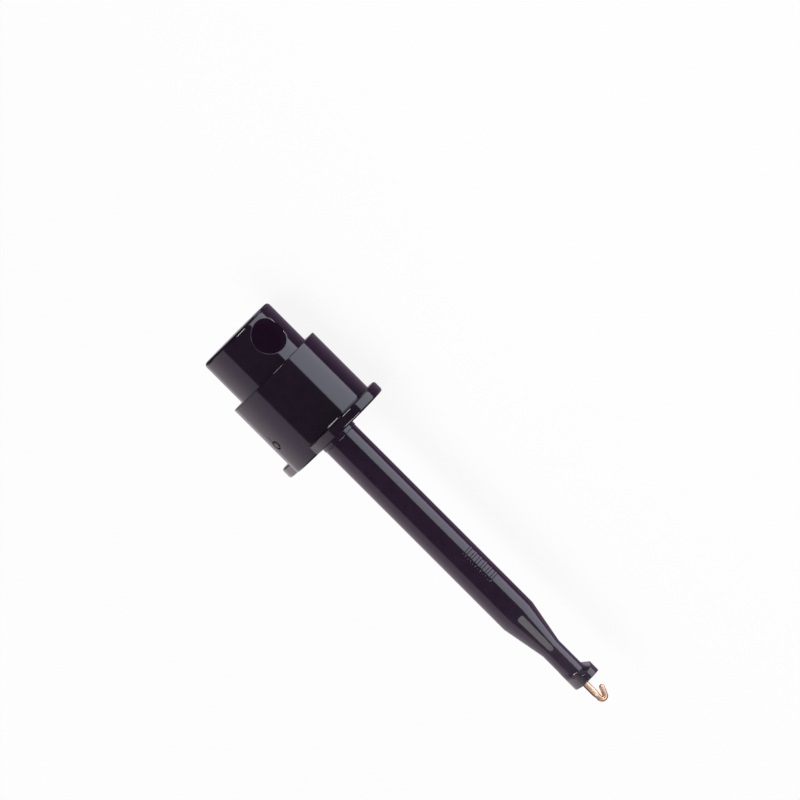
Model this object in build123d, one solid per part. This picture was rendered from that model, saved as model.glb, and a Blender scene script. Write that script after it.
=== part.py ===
from build123d import *
import math
import os

# Spring-loaded hook test clip, in millimetres.
# It lies on a table: its axis runs along X, the thumb cap is at +X and the hook at -X.
# The finger ears point along -Y and +Y, and the collar's lowest line rests on Z = 0.
# A "station" is a distance along the axis, measured from the thumb face towards the hook.
# A "roll" is an angle about the axis, in degrees, from -Y (0) towards +Z (90).

# ---- driving dimensions ----
OVERALL_LENGTH = 57.7

CAP_RADIUS = 4.93
CAP_LENGTH = 10.9
CAP_END_WALL = 0.55
CAP_EDGE_ROUND = 0.42
CAP_UPPER_BORE = 3.90
CAP_LOWER_BORE = 4.15
CAP_SHOULDER_STATION = 5.55
CAP_RIM_RADIUS = 5.39
CAP_RIM_STATION = 10.30
LEAD_HOLE_RADIUS = 2.02
LEAD_HOLE_STATION = 2.73
LEAD_HOLE_ROLL = -5.0
LEAD_BOSS_RADIUS = 2.13
LEAD_BOSS_INNER_RADIUS = 3.25

COLLAR_RADIUS = 6.12
COLLAR_STATION = 5.93
COLLAR_GUIDE_BORE = 4.98
COLLAR_CHAMBER_BORE = 5.45
COLLAR_CHAMBER_STATION = 8.82
COLLAR_EDGE_ROUND = 0.08
GATE_MARK_STATION = 11.87
GATE_MARK_OUTER = 0.56
GATE_MARK_INNER = 0.40
GATE_MARK_DEPTH = 0.06

FLANGE_STATION = 14.42
FLANGE_FRONT_STATION = 15.76
EAR_RADIUS = 5.07
EAR_OFFSET = 4.69
EAR_EDGE_ROUND = 0.28

BASE_RADIUS = 5.43
BASE_STATION = 13.17
SPRING_POCKET_RADIUS = 3.10
SPRING_POCKET_FLOOR = 14.57

KEY_WIDTH = 0.80
KEY_INNER_RADIUS = 5.10
KEY_CLEARANCE = 0.06

ROOT_BOSS_RADIUS = 2.29
ROOT_BOSS_STATION = 16.42
TUBE_RADIUS = 2.215
TUBE_BORE = 1.03
TUBE_BORE_END_STATION = 42.92
WIRE_BORE = 0.43
TAPER_STATION = 44.22
NECK_STATION = 49.32
NECK_RADIUS = 1.265

LUG_FULL_STATION = 53.42
TIP_STATION = 54.72
TIP_EDGE_ROUND = 0.10
LUG_RADIUS = 1.68
LUG_OFFSET = 0.38
LUG_SLOPE_LENGTH = 0.80
LUG_POCKET_DEPTH = 0.20
LUG_POCKET_RADIUS = 0.42
TIP_ROLL = -64.0
LUG_NOTCH_ROLL = -12.0
LUG_NOTCH_STATION = 53.47
LUG_NOTCH_LENGTH = 0.20
LUG_NOTCH_WIDTH = 0.42
LUG_NOTCH_DEPTH = 0.25

GRIP_BAR_COUNT = 6
GRIP_BAR_STATION = 35.12
GRIP_BAR_PITCH = 0.78
GRIP_BAR_ROLL = -6.0
GRIP_BAR_WIDTH = 1.50
GRIP_BAR_THICKNESS = 0.34
GRIP_BAR_HEIGHT = 0.07

FACET_STATION = 44.34
FACET_END_STATION = 49.52
FACET_ROLL = 26.0
FACET_DEPTH = 0.06

SHANK_RADIUS = 0.385
SHANK_END_STATION = 56.2
HOOK_START_STATION = 56.8
HOOK_RADIUS = 0.32
HOOK_ARM_ANGLE = 22.0
HOOK_ARM_LENGTH = 0.90
HOOK_BEND_RADIUS = 0.36

STEM_DISC_RADIUS = 4.13
STEM_DISC_THICKNESS = 1.95
STEM_TUBE_RADIUS = 1.60
STEM_TUBE_END = 12.20
STEM_SLEEVE_BORE = 0.97

TERMINAL_RADIUS = 1.13
TERMINAL_LIP_RADIUS = 1.70
TERMINAL_STATION = 5.15
TERMINAL_END = 9.60
SOLDER_CUP_RADIUS = 0.75
SOLDER_CUP_END = 7.40

SLEEVE_RADIUS = 0.95
SLEEVE_BORE = 0.395
SLEEVE_END = 40.5

SPRING_MEAN_RADIUS = 2.55
SPRING_WIRE_RADIUS = 0.20
SPRING_TURNS = 6

FIT_GAP = 0.02

X_HEAD = OVERALL_LENGTH / 2
AXIS_HEIGHT = COLLAR_RADIUS


def x_at(station):
    return X_HEAD - station


def point_at(station, roll=0.0, radius=0.0):
    angle = math.radians(roll)
    y = -radius * math.cos(angle)
    z = AXIS_HEIGHT + radius * math.sin(angle)
    return Vector(x_at(station), y, z)


def outward(roll):
    angle = math.radians(roll)
    return Vector(0, -math.cos(angle), math.sin(angle))


def cross_plane(station, roll=0.0):
    """Sketch plane across the axis: its X points outward at the roll, its normal towards the hook."""
    return Plane(origin=point_at(station), x_dir=outward(roll), z_dir=(-1, 0, 0))


def rod(start, end, radius):
    """Solid cylinder on the axis between two stations."""
    return extrude(cross_plane(start) * Circle(radius), amount=end - start)


def turned(profile):
    """Solid of revolution about the axis from (station, radius) points."""
    points = [(x_at(station), AXIS_HEIGHT + radius) for station, radius in profile]
    face = Plane.XZ * make_face(Polyline(*points, close=True))
    return revolve(face, axis=Axis((0, 0, AXIS_HEIGHT), (1, 0, 0)))


def radial_rod(station, roll, inner, outer, radius):
    """Solid cylinder that runs outward from the axis at one roll."""
    plane = Plane(origin=point_at(station, roll, inner), x_dir=(1, 0, 0), z_dir=outward(roll))
    return extrude(plane * Circle(radius), amount=outer - inner)


def round_rim(solid, station, radius, size):
    """Round the circular edges that lie at one station and radius."""
    edges = [
        edge
        for edge in solid.edges().filter_by(GeomType.CIRCLE)
        if abs(edge.center().X - x_at(station)) < 1e-3 and abs(edge.radius - radius) < 1e-3
    ]
    return fillet(edges, size)


def make_head_cap():
    outside = turned(
        [
            (0, 0),
            (0, CAP_RADIUS),
            (CAP_RIM_STATION, CAP_RADIUS),
            (CAP_RIM_STATION, CAP_RIM_RADIUS),
            (CAP_LENGTH, CAP_RIM_RADIUS),
            (CAP_LENGTH, 0),
        ]
    )
    outside = round_rim(outside, 0, CAP_RADIUS, CAP_EDGE_ROUND)
    hollow = turned(
        [
            (CAP_END_WALL, 0),
            (CAP_END_WALL, CAP_UPPER_BORE),
            (CAP_SHOULDER_STATION, CAP_UPPER_BORE),
            (CAP_SHOULDER_STATION, CAP_LOWER_BORE),
            (CAP_LENGTH, CAP_LOWER_BORE),
            (CAP_LENGTH, 0),
        ]
    )
    cap = outside - hollow
    boss_top = CAP_UPPER_BORE + 0.3
    cap += radial_rod(LEAD_HOLE_STATION, LEAD_HOLE_ROLL, LEAD_BOSS_INNER_RADIUS, boss_top, LEAD_BOSS_RADIUS)
    cap -= radial_rod(LEAD_HOLE_STATION, LEAD_HOLE_ROLL, 1.0, CAP_RADIUS + 1, LEAD_HOLE_RADIUS)
    key_half = KEY_WIDTH / 2 + KEY_CLEARANCE
    key_slot = cross_plane(CAP_RIM_STATION - 0.5, 180) * (
        Pos(KEY_INNER_RADIUS - KEY_CLEARANCE + 0.5, 0) * Rectangle(1.0, 2 * key_half)
    )
    return cap - (extrude(key_slot, amount=2.0) - rod(CAP_RIM_STATION - 1, CAP_LENGTH + 1, CAP_RADIUS))


def ear_outline():
    """Flange outline: the collar's circle joined to a bar with two round finger ears."""
    bar = Rectangle(2 * EAR_OFFSET, 2 * EAR_RADIUS)
    ears = Pos(EAR_OFFSET, 0) * Circle(EAR_RADIUS) + Pos(-EAR_OFFSET, 0) * Circle(EAR_RADIUS)
    return bar + ears


def make_finger_collar():
    body = rod(COLLAR_STATION, FLANGE_FRONT_STATION, COLLAR_RADIUS)
    body = round_rim(body, COLLAR_STATION, COLLAR_RADIUS, COLLAR_EDGE_ROUND)
    ears = extrude(cross_plane(FLANGE_STATION) * ear_outline(), amount=FLANGE_FRONT_STATION - FLANGE_STATION)
    ears = fillet(ears.faces().filter_by(Axis.X).edges(), EAR_EDGE_ROUND)
    body += ears
    body -= rod(COLLAR_STATION - 1, COLLAR_CHAMBER_STATION + 1, COLLAR_GUIDE_BORE)
    body -= rod(COLLAR_CHAMBER_STATION, FLANGE_FRONT_STATION + 1, COLLAR_CHAMBER_BORE)
    key = cross_plane(COLLAR_CHAMBER_STATION - 0.2, 180) * (
        Pos((KEY_INNER_RADIUS + COLLAR_CHAMBER_BORE + 0.3) / 2, 0)
        * Rectangle(COLLAR_CHAMBER_BORE + 0.3 - KEY_INNER_RADIUS, KEY_WIDTH)
    )
    body += extrude(key, amount=BASE_STATION - COLLAR_CHAMBER_STATION)
    top = COLLAR_RADIUS - GATE_MARK_DEPTH
    ring = radial_rod(GATE_MARK_STATION, 90, top, COLLAR_RADIUS + 1, GATE_MARK_OUTER)
    ring -= radial_rod(GATE_MARK_STATION, 90, top, COLLAR_RADIUS + 1, GATE_MARK_INNER)
    return body - ring


def make_tip():
    """Tip block: a round bar set off the axis towards the hook's arm, sloped at its back edge."""
    centre = point_at(0, TIP_ROLL, LUG_OFFSET) - point_at(0)
    block = turned(
        [
            (LUG_FULL_STATION - LUG_SLOPE_LENGTH, 0),
            (LUG_FULL_STATION - LUG_SLOPE_LENGTH, LUG_RADIUS - LUG_SLOPE_LENGTH),
            (LUG_FULL_STATION, LUG_RADIUS),
            (TIP_STATION, LUG_RADIUS),
            (TIP_STATION, 0),
        ]
    )
    block = round_rim(block, TIP_STATION, LUG_RADIUS, TIP_EDGE_ROUND)
    return Pos(centre.X, centre.Y, centre.Z) * block


def notch_cutter():
    """Small slot in the lug's flank."""
    plane = Plane(
        origin=point_at(LUG_NOTCH_STATION, LUG_NOTCH_ROLL, LUG_RADIUS - LUG_NOTCH_DEPTH),
        x_dir=(1, 0, 0),
        z_dir=outward(LUG_NOTCH_ROLL),
    )
    return extrude(plane * Rectangle(LUG_NOTCH_LENGTH, LUG_NOTCH_WIDTH), amount=1.0)


def make_grip_bars(body):
    for index in range(GRIP_BAR_COUNT):
        station = GRIP_BAR_STATION + index * GRIP_BAR_PITCH
        plane = Plane(
            origin=point_at(station, GRIP_BAR_ROLL, TUBE_RADIUS - 0.5),
            x_dir=(1, 0, 0),
            z_dir=outward(GRIP_BAR_ROLL),
        )
        bar = extrude(plane * Rectangle(GRIP_BAR_THICKNESS, GRIP_BAR_WIDTH), amount=2.0)
        sleeve = rod(station - 1, station + 1, TUBE_RADIUS + GRIP_BAR_HEIGHT)
        body += bar & sleeve
    return body


def make_nose_barrel():
    body = turned(
        [
            (BASE_STATION, 0),
            (BASE_STATION, BASE_RADIUS),
            (FLANGE_FRONT_STATION, BASE_RADIUS),
            (FLANGE_FRONT_STATION, ROOT_BOSS_RADIUS),
            (ROOT_BOSS_STATION, ROOT_BOSS_RADIUS),
            (ROOT_BOSS_STATION, TUBE_RADIUS),
            (TAPER_STATION, TUBE_RADIUS),
            (NECK_STATION, NECK_RADIUS),
            (LUG_FULL_STATION + 0.3, NECK_RADIUS),
            (LUG_FULL_STATION + 0.3, 0),
        ]
    )
    body += make_tip()
    body = make_grip_bars(body)
    body -= rod(BASE_STATION - 1, SPRING_POCKET_FLOOR, SPRING_POCKET_RADIUS)
    body -= rod(SPRING_POCKET_FLOOR - 1, TUBE_BORE_END_STATION, TUBE_BORE)
    body -= rod(TUBE_BORE_END_STATION - 1, TIP_STATION + 1, WIRE_BORE)
    arm_radius = hook_arm_end_radius()
    pocket = cross_plane(TIP_STATION - LUG_POCKET_DEPTH, TIP_ROLL) * (Pos(arm_radius, 0) * Circle(LUG_POCKET_RADIUS))
    body -= extrude(pocket, amount=1.0)
    return body - facet_cutter() - notch_cutter()


def facet_cutter():
    """Thin slab that cuts the long flat on the taper."""
    slope = (TUBE_RADIUS - NECK_RADIUS) / (NECK_STATION - TAPER_STATION)
    start = point_at(FACET_STATION, FACET_ROLL, TUBE_RADIUS - FACET_DEPTH - slope * (FACET_STATION - TAPER_STATION))
    end = point_at(FACET_END_STATION, FACET_ROLL, NECK_RADIUS - FACET_DEPTH)
    along = end - start
    width_dir = Vector(-1, 0, 0).cross(outward(FACET_ROLL))
    plane = Plane(origin=start, x_dir=along, z_dir=along.cross(width_dir))
    if plane.z_dir.dot(outward(FACET_ROLL)) < 0:
        plane = Plane(origin=start, x_dir=along, z_dir=-along.cross(width_dir))
    return extrude(plane * (Pos(along.length / 2, 0) * Rectangle(along.length, 3.0)), amount=1.0)


def hook_points():
    """Centre line of the wire in (station, offset towards the lug) from terminal to hook point."""
    turn = 180.0 - HOOK_ARM_ANGLE
    crown = OVERALL_LENGTH - HOOK_RADIUS - HOOK_BEND_RADIUS
    bend_centre = (crown, HOOK_BEND_RADIUS)
    end_angle = math.radians(-90 + turn)
    bend_mid_angle = math.radians(-90 + turn / 2)
    mid = (
        bend_centre[0] + HOOK_BEND_RADIUS * math.cos(bend_mid_angle),
        bend_centre[1] + HOOK_BEND_RADIUS * math.sin(bend_mid_angle),
    )
    end = (
        bend_centre[0] + HOOK_BEND_RADIUS * math.cos(end_angle),
        bend_centre[1] + HOOK_BEND_RADIUS * math.sin(end_angle),
    )
    arm = math.radians(180 - HOOK_ARM_ANGLE)
    tip = (end[0] + HOOK_ARM_LENGTH * math.cos(arm), end[1] + HOOK_ARM_LENGTH * math.sin(arm))
    return (crown, 0.0), mid, end, tip


def hook_arm_end_radius():
    return hook_points()[3][1]


def make_hook_contact():
    crown, mid, end, tip = [point_at(s, TIP_ROLL, r) for s, r in hook_points()]
    start = point_at(HOOK_START_STATION)
    path = Wire([Line(start, crown), ThreePointArc(crown, mid, end), Line(end, tip)])
    hook = sweep(cross_plane(HOOK_START_STATION) * Circle(HOOK_RADIUS), path=path)
    hook += Pos(tip.X, tip.Y, tip.Z) * Sphere(HOOK_RADIUS)
    shank = turned(
        [
            (SOLDER_CUP_END, 0),
            (SOLDER_CUP_END, SHANK_RADIUS),
            (SHANK_END_STATION, SHANK_RADIUS),
            (HOOK_START_STATION, HOOK_RADIUS),
            (HOOK_START_STATION, 0),
        ]
    )
    return shank + hook


def make_lead_terminal():
    return turned(
        [
            (TERMINAL_STATION, SOLDER_CUP_RADIUS),
            (TERMINAL_STATION, TERMINAL_LIP_RADIUS),
            (CAP_SHOULDER_STATION, TERMINAL_LIP_RADIUS),
            (CAP_SHOULDER_STATION, TERMINAL_RADIUS),
            (TERMINAL_END, TERMINAL_RADIUS),
            (TERMINAL_END, SHANK_RADIUS),
            (SOLDER_CUP_END, SHANK_RADIUS),
            (SOLDER_CUP_END, SOLDER_CUP_RADIUS),
        ]
    )


def make_plunger_stem():
    disc_end = CAP_SHOULDER_STATION + STEM_DISC_THICKNESS
    return turned(
        [
            (CAP_SHOULDER_STATION, TERMINAL_RADIUS + FIT_GAP),
            (CAP_SHOULDER_STATION, STEM_DISC_RADIUS),
            (disc_end, STEM_DISC_RADIUS),
            (disc_end, STEM_TUBE_RADIUS),
            (STEM_TUBE_END, STEM_TUBE_RADIUS),
            (STEM_TUBE_END, STEM_SLEEVE_BORE),
            (TERMINAL_END, STEM_SLEEVE_BORE),
            (TERMINAL_END, TERMINAL_RADIUS + FIT_GAP),
        ]
    )


def make_shank_sleeve():
    return rod(TERMINAL_END, SLEEVE_END, SLEEVE_RADIUS) - rod(TERMINAL_END - 1, SLEEVE_END + 1, SLEEVE_BORE)


def make_return_spring():
    top = CAP_SHOULDER_STATION + STEM_DISC_THICKNESS + SPRING_WIRE_RADIUS
    bottom = SPRING_POCKET_FLOOR - SPRING_WIRE_RADIUS
    length = bottom - top
    helix = Helix(pitch=length / SPRING_TURNS, height=length, radius=SPRING_MEAN_RADIUS)
    section = Plane(origin=helix @ 0, z_dir=helix % 0) * Circle(SPRING_WIRE_RADIUS)
    coil = sweep(section, path=helix, is_frenet=True)
    return Pos(x_at(bottom), 0, AXIS_HEIGHT) * Rot(0, 90, 0) * coil


PIECES = {
    "finger_collar": make_finger_collar,
    "nose_barrel": make_nose_barrel,
    "head_cap": make_head_cap,
    "plunger_stem": make_plunger_stem,
    "hook_contact": make_hook_contact,
    "lead_terminal": make_lead_terminal,
    "shank_sleeve": make_shank_sleeve,
    "return_spring": make_return_spring,
}

os.makedirs("parts", exist_ok=True)
for name, make in PIECES.items():
    export_step(make(), f"parts/{name}.step")
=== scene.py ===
"""Looks of a spring-loaded hook test clip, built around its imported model."""

import math

import bmesh
import bpy
import numpy as np
from mathutils import Matrix, Vector


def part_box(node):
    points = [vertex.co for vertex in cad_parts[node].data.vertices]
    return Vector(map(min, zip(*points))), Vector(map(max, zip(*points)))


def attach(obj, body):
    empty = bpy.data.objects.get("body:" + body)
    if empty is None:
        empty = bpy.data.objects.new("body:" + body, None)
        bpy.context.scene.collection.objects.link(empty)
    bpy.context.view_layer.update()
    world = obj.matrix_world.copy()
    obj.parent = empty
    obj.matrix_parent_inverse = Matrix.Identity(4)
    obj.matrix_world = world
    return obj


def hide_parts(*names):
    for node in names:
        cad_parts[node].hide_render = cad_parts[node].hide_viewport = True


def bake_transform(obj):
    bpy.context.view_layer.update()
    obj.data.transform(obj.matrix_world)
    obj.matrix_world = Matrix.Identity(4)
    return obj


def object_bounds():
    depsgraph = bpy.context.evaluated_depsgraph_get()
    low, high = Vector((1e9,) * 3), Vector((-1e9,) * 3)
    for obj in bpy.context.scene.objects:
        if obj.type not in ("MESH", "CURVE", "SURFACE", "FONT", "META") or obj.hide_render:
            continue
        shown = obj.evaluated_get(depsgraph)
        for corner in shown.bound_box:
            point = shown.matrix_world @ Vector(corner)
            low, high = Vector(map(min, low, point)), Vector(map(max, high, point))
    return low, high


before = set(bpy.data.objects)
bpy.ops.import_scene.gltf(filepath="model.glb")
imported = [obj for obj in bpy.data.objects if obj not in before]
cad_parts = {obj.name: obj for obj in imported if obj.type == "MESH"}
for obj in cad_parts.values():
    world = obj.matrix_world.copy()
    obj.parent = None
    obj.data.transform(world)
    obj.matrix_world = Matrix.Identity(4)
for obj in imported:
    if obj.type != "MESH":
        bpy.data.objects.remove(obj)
cad_low, cad_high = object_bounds()

# ---- the clip's own measures, in millimetres ----
# A station is a distance along the axis from the thumb face towards the hook.
# A roll is an angle about the axis, in degrees, from -Y (0) towards +Z (90).
MM = 0.001
HEAD_X = cad_high.x
collar_low, collar_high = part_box("finger_collar")
AXIS_Z = (collar_low[2] + collar_high[2]) / 2
LENGTH = (cad_high.x - cad_low.x) / MM

CAP_RADIUS = 4.93
CAP_EDGE_ROUND = 0.42
CAP_LENGTH = 10.9
CAP_RIM_STATION = 10.30
CAP_RIM_RADIUS = 5.39
CAP_END_WALL = 0.55
CAP_UPPER_BORE = 3.90
CAP_LOWER_BORE = 4.15
CAP_SHOULDER_STATION = 5.55
LEAD_HOLE_RADIUS = 2.02
LEAD_HOLE_STATION = 2.73
LEAD_HOLE_ROLL = -5.0
LEAD_HOLE_ROUND = 0.10
LEAD_BOSS_RADIUS = 2.13
LEAD_BOSS_INNER_RADIUS = 3.25
POLISHED_DEPTH = 0.35

COLLAR_RADIUS = 6.12
COLLAR_STATION = 5.93
COLLAR_EDGE_ROUND = 0.09
COLLAR_GUIDE_BORE = 4.98
COLLAR_CHAMBER_BORE = 5.45
COLLAR_CHAMBER_STATION = 8.82
GATE_STATION = 11.87
GATE_ROLL = 90.0
GATE_RADIUS = 0.50
GATE_RING_DEPTH, GATE_RING_WIDTH = 0.13, 0.07
GATE_NUB_HEIGHT, GATE_NUB_EDGE = 0.03, (0.16, 0.34)
FLOW_LINE_DEPTH, FLOW_LINE_WIDTH, FLOW_LINE_ASIDE = 0.05, 0.05, 0.12
FLOW_LINE_START, FLOW_LINE_END = (10.3, 10.7), (11.1, 11.25)
FLANGE_STATION = 14.42
FLANGE_FRONT = 15.76
EAR_RADIUS = 5.07
EAR_OFFSET = 4.69
EAR_ROUND = 0.28
EAR_JOIN_ROLLS = (57, 123, -57, -123)

BASE_RADIUS = 5.43
BASE_STATION = 13.17
SPRING_POCKET_RADIUS = 3.10
SPRING_POCKET_FLOOR = 14.57
ROOT_BOSS_RADIUS = 2.29
ROOT_BOSS_STATION = 16.42
TUBE_RADIUS = 2.215
TUBE_BORE = 1.03
TUBE_BORE_END = 42.92
WIRE_BORE = 0.43
TAPER_STATION = 44.22
NECK_STATION = 49.32
NECK_RADIUS = 1.265
CORNER_EASE = 0.03

TIP_STATION = 54.72
TIP_ROUND = 0.10
TIP_ROLL = -64.0
TIP_SLOPE = 0.18
TIP_SLOPE_REACH = (0.25, 1.6)
TIP_RAMP_START = 50.92
TIP_FINE_START = 51.9
TIP_RAMP_END = 54.07
LUG_STATION = 52.80
LUG_STATION_SPREAD = 1.085
LUG_STATION_ROLL = -3.0
LUG_RAMP = 0.64
LUG_RAMP_ROLLS = (TIP_ROLL + 3, 120)
LUG_RAMP_EASE = 0.06
LUG_RADIUS = 1.68
LUG_OFFSET = 0.38
LUG_POCKET_DEPTH = 0.20
LUG_POCKET_RADIUS = 0.42
NOTCH_STATION = 53.47
NOTCH_ROLL = -14.0
NOTCH_LENGTH = 0.18
NOTCH_WIDTH = 0.46
NOTCH_DEPTH = 0.25

GRIP_BAR_COUNT = 6
GRIP_BAR_STATION = 35.12
GRIP_BAR_PITCH = 0.78
GRIP_BAR_ROLL = -6.0
GRIP_BAR_WIDTH = 1.50
GRIP_BAR_THICKNESS = 0.34
GRIP_BAR_HEIGHT = 0.07
FACET_STATION = 44.34
FACET_END_STATION = 49.52
FACET_ROLL = 26.0
FACET_DEPTH = 0.038
FACET_RUN_IN = 0.20
FACET_RUN_OUT = 0.55
FACET_LEAST_RADIUS = 1.1
# The barrel's grid is finer within the window; one of its columns follows each edge of the flat.
FACET_WINDOW = 18.0
FACET_COLUMN = 12.0

SHANK_RADIUS = 0.385
SHANK_END_STATION = 56.2
HOOK_START_STATION = 56.8
HOOK_RADIUS = 0.32
SOLDER_CUP_END = 7.40
HOOK_ARM_ANGLE = 22.0
HOOK_ARM_LENGTH = 0.90
HOOK_BEND_RADIUS = 0.36

# The painted shade line along the wire starts and is full at these distances from the axis, on the
# side that the shank leans to in its bore.
LEAN_AND_SHADE_ROLL = 115.0
PAINTED_SHADE_REACH = (0.20, 0.32)
SHANK_REST_SHIFT = 0.04

SPRING_MEAN_RADIUS = 2.55
SPRING_WIRE_RADIUS = 0.20
SPRING_TURNS = 6
SPRING_TOP_STATION = 7.50


# ---- places ----
def place(station, roll, radius):
    """Point in metres at a station, roll and radius; works on numbers and on arrays."""
    angle = np.radians(roll)
    x = HEAD_X - np.asarray(station) * MM
    y = -np.asarray(radius) * MM * np.cos(angle)
    z = AXIS_Z + np.asarray(radius) * MM * np.sin(angle)
    return np.stack(np.broadcast_arrays(x, y, z), -1)


def outward(roll):
    angle = math.radians(roll)
    return Vector((0, -math.cos(angle), math.sin(angle)))


def smoothstep(value, low, high):
    t = np.clip((np.asarray(value) - low) / (high - low), 0, 1)
    return t * t * (3 - 2 * t)


def smooth_max(a, b, width):
    """The larger of two fields, with the crease between them rounded over a width."""
    h = np.clip(0.5 + 0.5 * (a - b) / width, 0, 1)
    return b + (a - b) * h + width * h * (1 - h)


# ---- meshes ----
class Mesh:
    """Collects quads and triangles, welds them and makes one object."""

    def __init__(self, name):
        self.name = name
        self.points = []
        self.faces = []
        self.count = 0

    def add_grid(self, grid, wrap=False, loop=False, skip=None):
        """Faces over a grid of points; wrap closes its rows into rings, loop closes its columns."""
        rows, columns = grid.shape[:2]
        start = self.count
        self.points.append(grid.reshape(-1, 3))
        self.count += rows * columns
        for i in range(rows if loop else rows - 1):
            for j in range(columns if wrap else columns - 1):
                if skip is not None and skip(i, j):
                    continue
                here, below = start + i * columns, start + (i + 1) % rows * columns
                beside = (j + 1) % columns
                self.faces.append((here + j, here + beside, below + beside, below + j))

    def make(self, weld=2e-7, sharp=35.0):
        mesh = bpy.data.meshes.new(self.name)
        mesh.from_pydata(np.concatenate(self.points).tolist(), [], self.faces)
        work = bmesh.new()
        work.from_mesh(mesh)
        bmesh.ops.remove_doubles(work, verts=work.verts, dist=weld)
        bmesh.ops.dissolve_degenerate(work, edges=work.edges, dist=weld)
        bmesh.ops.recalc_face_normals(work, faces=work.faces)
        limit = math.radians(sharp)
        for edge in work.edges:
            edge.smooth = edge.calc_face_angle(0) < limit
        for face in work.faces:
            face.smooth = True
        work.to_mesh(mesh)
        work.free()
        thing = bpy.data.objects.new(self.name, mesh)
        bpy.context.scene.collection.objects.link(thing)
        return thing


def roll_columns(step, *windows):
    """Rolls round the axis, closer together inside each (centre, half width, step) window."""
    values = set(np.round(np.arange(-180, 180, step), 4))
    for centre, half, fine in windows:
        values = {v for v in values if abs((v - centre + 180) % 360 - 180) > half}
        inside = np.linspace(centre - half, centre + half, int(round(2 * half / fine)) + 1)
        values |= set(np.round((inside + 180) % 360 - 180, 4))
    return np.array(sorted(values))


def span(start, end, step):
    """Stations from start to end, evenly spaced at about a step."""
    return list(np.linspace(start, end, max(2, int(round(abs(end - start) / step)) + 1)))


def arc(centre_station, centre_radius, size, start, end, count=5):
    """Stations and radii along a round edge; angles run from outward (0) to hookward (90)."""
    angles = np.radians(np.linspace(start, end, count))
    stations = centre_station + size * np.sin(angles)
    return list(zip(stations, centre_radius + size * np.cos(angles)))


def turned_grid(profile, rolls):
    """Grid for (station, radius) rows, where a radius is a number or an array over the rolls."""
    return np.stack([place(station, rolls, radius) for station, radius in profile])


# ---- finger collar ----
def ear_outline(rolls):
    """Flange radius at each roll: the collar's circle joined to a bar with two round ears."""
    angle = np.radians(np.abs((rolls + 90) % 180 - 90))
    ear = EAR_OFFSET * np.cos(angle)
    ear = ear + np.sqrt(np.maximum(EAR_RADIUS**2 - (EAR_OFFSET * np.sin(angle)) ** 2, 0))
    side = EAR_RADIUS / np.maximum(np.sin(angle), 1e-6)
    bar = np.where(np.tan(angle) < EAR_RADIUS / EAR_OFFSET, ear, side)
    return np.maximum(bar, COLLAR_RADIUS)


def groove(distance, width):
    return np.exp(-((distance / width) ** 2))


def gate_mark(station, rolls):
    """Depth of the moulding mark: a sharp ring, a low nub in its middle and a short flow line."""
    across = np.radians(rolls - GATE_ROLL) * COLLAR_RADIUS
    distance = np.hypot(station - GATE_STATION, across)
    ring = groove(distance - GATE_RADIUS, GATE_RING_WIDTH)
    nub = 1 - smoothstep(distance, *GATE_NUB_EDGE)
    line = groove(across - FLOW_LINE_ASIDE, FLOW_LINE_WIDTH)
    line = line * smoothstep(station, *FLOW_LINE_START) * (1 - smoothstep(station, *FLOW_LINE_END))
    return GATE_RING_DEPTH * ring - GATE_NUB_HEIGHT * nub + FLOW_LINE_DEPTH * line


def make_collar():
    ear_joins = [(roll, 1.5, 0.5) for roll in EAR_JOIN_ROLLS]
    rolls = roll_columns(2.0, (GATE_ROLL, 8, 0.3), *ear_joins)
    outline = ear_outline(rolls)
    inner = np.maximum(COLLAR_RADIUS, outline - EAR_ROUND)
    rows = [(COLLAR_CHAMBER_STATION, COLLAR_GUIDE_BORE), (COLLAR_STATION + 0.08, COLLAR_GUIDE_BORE)]
    rows += [(COLLAR_STATION, COLLAR_GUIDE_BORE + 0.08)]
    rows += [(COLLAR_STATION, r) for r in span(COLLAR_GUIDE_BORE + 0.2, COLLAR_RADIUS - 0.2, 0.3)]
    edge = COLLAR_EDGE_ROUND
    rows += [(s, r) for s, r in arc(COLLAR_STATION + edge, COLLAR_RADIUS - edge, edge, -90, 0)]
    wall = span(COLLAR_STATION + 0.3, GATE_STATION - 1.7, 0.6)
    wall += span(GATE_STATION - 1.6, GATE_STATION - 0.8, 0.15)[:-1]
    wall += span(GATE_STATION - 0.8, GATE_STATION + 0.8, 0.04)
    wall += span(GATE_STATION + 0.9, FLANGE_STATION - 0.08, 0.4)
    rows += [(s, COLLAR_RADIUS - gate_mark(s, rolls)) for s in wall]
    rows += [(FLANGE_STATION - 0.03, np.minimum(COLLAR_RADIUS + 0.02, inner))]
    ledge = inner - COLLAR_RADIUS
    rows += [(FLANGE_STATION, COLLAR_RADIUS + f * ledge) for f in (0.05, 0.3, 0.6, 0.9, 1)]
    for a in np.radians((18, 36, 54, 72, 90)):
        station = FLANGE_STATION + EAR_ROUND * (1 - math.cos(a))
        rows.append((station, inner + (outline - inner) * math.sin(a)))
    rim = span(FLANGE_STATION + EAR_ROUND + 0.1, FLANGE_FRONT - EAR_ROUND - 0.1, 0.2)
    rows += [(s, outline) for s in rim]
    for a in np.radians((0, 18, 36, 54, 72, 90)):
        station = FLANGE_FRONT - EAR_ROUND * (1 - math.sin(a))
        rows.append((station, outline - EAR_ROUND * (1 - math.cos(a))))
    seam = COLLAR_CHAMBER_BORE + 0.04
    front = outline - EAR_ROUND - seam
    rows += [(FLANGE_FRONT, seam + front * f) for f in (0.9, 0.6, 0.3, 0.1, 0)]
    rows += [(FLANGE_FRONT - 0.04, COLLAR_CHAMBER_BORE)]
    rows += [(COLLAR_CHAMBER_STATION, COLLAR_CHAMBER_BORE)]
    mesh = Mesh("collar_shell")
    mesh.add_grid(turned_grid(rows, rolls), wrap=True, loop=True)
    return mesh.make()


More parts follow.
